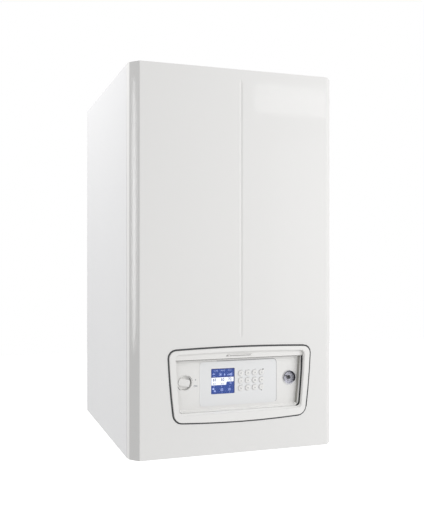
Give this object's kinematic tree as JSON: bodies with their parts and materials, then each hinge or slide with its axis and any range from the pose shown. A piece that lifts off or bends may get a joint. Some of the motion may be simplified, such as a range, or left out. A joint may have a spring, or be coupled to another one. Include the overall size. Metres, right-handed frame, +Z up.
{
  "type": "wall-hung gas condensing boiler",
  "caption": "Tall white wall-hung condensing boiler: pull-off front cover, sliding door over a recessed control panel with screen, keys, switch and gauge, flue and pipes.",
  "frame": {"origin": "middle of the footprint, level with the lowest pipe ends", "axes": "+Z up, the front cover faces -Y, +X to the right as seen from the front"},
  "size_m": [0.6, 0.605, 1.128],
  "materials": {
    "white_paint": "white powder coat, satin",
    "white_plastic": "moulded white, fine grain",
    "light_grey_plastic": "moulded light grey, fine grain",
    "dark_rubber": "matt",
    "zinc_sheet": "galvanised sheet",
    "stainless_steel": "drawn stainless steel",
    "cast_aluminium": "as cast",
    "brass": "machined",
    "copper": "copper tube, slightly tarnished",
    "black_plastic": "moulded black",
    "red_plastic": "moulded red",
    "grey_plastic": "moulded grey",
    "blue_screen": "lit liquid crystal screen",
    "clear_plastic": "clear, polished",
    "circuit_green": "coated board",
    "ceramic": "white ceramic",
    "painted_iron": "dark paint"
  },
  "bodies": {
    "casing": {"left_side_panel": "white_paint", "right_side_panel": "white_paint", "top_panel": "white_paint", "bottom_panel": "white_paint", "back_frame": "zinc_sheet", "wall_bracket": "zinc_sheet", "electronics_box": "zinc_sheet", "clamp_ring": "zinc_sheet", "panel_bezel": "white_plastic", "fascia": "white_plastic", "switch_body": "white_plastic", "controller_housing": "light_grey_plastic", "flue_seal": "dark_rubber", "display_lens": "clear_plastic", "gauge_lens": "clear_plastic", "display_screen": "blue_screen", "circuit_board": "circuit_green", "gauge_case": "black_plastic", "gas_air_elbow": "black_plastic", "fan_motor": "black_plastic", "flue_collar": "black_plastic", "air_intake_collar": "black_plastic", "box_screw_left": "stainless_steel", "box_screw_right": "stainless_steel", "heat_exchanger": "stainless_steel", "exchanger_coil": "stainless_steel", "burner": "stainless_steel", "gas_pipe": "stainless_steel", "exchanger_door": "cast_aluminium", "fan_housing": "cast_aluminium", "gas_valve": "cast_aluminium", "electrodes": "ceramic", "condensate_trap": "grey_plastic", "flue_duct": "grey_plastic", "flow_pipe": "copper", "return_pipe": "copper", "pump_body": "painted_iron", "pump_motor": "painted_iron", "air_vent": "brass", "safety_valve": "brass"},
    "cover": {"front_cover": "white_paint", "panel_gasket": "dark_rubber"},
    "door": {"door": "white_plastic"},
    "switch_knob": {"switch_knob": "white_plastic"},
    "gauge_needle": {"gauge_needle": "black_plastic"},
    "fan_impeller": {"fan_impeller": "grey_plastic"},
    "pump_impeller": {"pump_impeller": "grey_plastic"},
    "safety_valve_knob": {"safety_valve_knob": "red_plastic"},
    "key_01": {"key_01": "white_plastic"},
    "key_02": {"key_02": "white_plastic"},
    "key_03": {"key_03": "white_plastic"},
    "key_04": {"key_04": "white_plastic"},
    "key_05": {"key_05": "white_plastic"},
    "key_06": {"key_06": "white_plastic"},
    "key_07": {"key_07": "white_plastic"},
    "key_08": {"key_08": "white_plastic"},
    "key_09": {"key_09": "white_plastic"},
    "key_10": {"key_10": "white_plastic"},
    "key_11": {"key_11": "white_plastic"},
    "key_12": {"key_12": "white_plastic"}
  },
  "joints": [
    {"name": "cover_pull", "type": "slide", "parent": "casing", "child": "cover", "axis": [0, -1, 0], "range_m": [0, 0.25]},
    {"name": "door_slide", "type": "slide", "parent": "casing", "child": "door", "axis": [0, 0, 1], "range_m": [-0.1395, 0]},
    {"name": "switch_turn", "type": "hinge", "parent": "casing", "child": "switch_knob", "pos_m": [-0.1435, -0.2675, 0.232], "axis": [0, -1, 0], "range_deg": [0, 35]},
    {"name": "gauge_needle_turn", "type": "hinge", "parent": "casing", "child": "gauge_needle", "pos_m": [0.1665, -0.272, 0.232], "axis": [0, 1, 0], "range_deg": [-75, 195]},
    {"name": "fan_spin", "type": "hinge", "parent": "casing", "child": "fan_impeller", "pos_m": [0.062, -0.1306, 0.4662], "axis": [0, 1, 0], "continuous": true},
    {"name": "pump_spin", "type": "hinge", "parent": "casing", "child": "pump_impeller", "pos_m": [0.205, 0.034, 0.235], "axis": [0, 1, 0], "continuous": true},
    {"name": "safety_knob_turn", "type": "hinge", "parent": "casing", "child": "safety_valve_knob", "pos_m": [-0.215, -0.0106, 0.3], "axis": [0, -1, 0], "range_deg": [0, 90]},
    {"name": "key_01_press", "type": "slide", "parent": "casing", "child": "key_01", "axis": [0, 1, 0], "range_m": [0, 0.0012], "stiffness_N_per_m": 300},
    {"name": "key_02_press", "type": "slide", "parent": "casing", "child": "key_02", "axis": [0, 1, 0], "range_m": [0, 0.0012], "stiffness_N_per_m": 300},
    {"name": "key_03_press", "type": "slide", "parent": "casing", "child": "key_03", "axis": [0, 1, 0], "range_m": [0, 0.0012], "stiffness_N_per_m": 300},
    {"name": "key_04_press", "type": "slide", "parent": "casing", "child": "key_04", "axis": [0, 1, 0], "range_m": [0, 0.0012], "stiffness_N_per_m": 300},
    {"name": "key_05_press", "type": "slide", "parent": "casing", "child": "key_05", "axis": [0, 1, 0], "range_m": [0, 0.0012], "stiffness_N_per_m": 300},
    {"name": "key_06_press", "type": "slide", "parent": "casing", "child": "key_06", "axis": [0, 1, 0], "range_m": [0, 0.0012], "stiffness_N_per_m": 300},
    {"name": "key_07_press", "type": "slide", "parent": "casing", "child": "key_07", "axis": [0, 1, 0], "range_m": [0, 0.0012], "stiffness_N_per_m": 300},
    {"name": "key_08_press", "type": "slide", "parent": "casing", "child": "key_08", "axis": [0, 1, 0], "range_m": [0, 0.0012], "stiffness_N_per_m": 300},
    {"name": "key_09_press", "type": "slide", "parent": "casing", "child": "key_09", "axis": [0, 1, 0], "range_m": [0, 0.0012], "stiffness_N_per_m": 300},
    {"name": "key_10_press", "type": "slide", "parent": "casing", "child": "key_10", "axis": [0, 1, 0], "range_m": [0, 0.0012], "stiffness_N_per_m": 300},
    {"name": "key_11_press", "type": "slide", "parent": "casing", "child": "key_11", "axis": [0, 1, 0], "range_m": [0, 0.0012], "stiffness_N_per_m": 300},
    {"name": "key_12_press", "type": "slide", "parent": "casing", "child": "key_12", "axis": [0, 1, 0], "range_m": [0, 0.0012], "stiffness_N_per_m": 300}
  ]
}
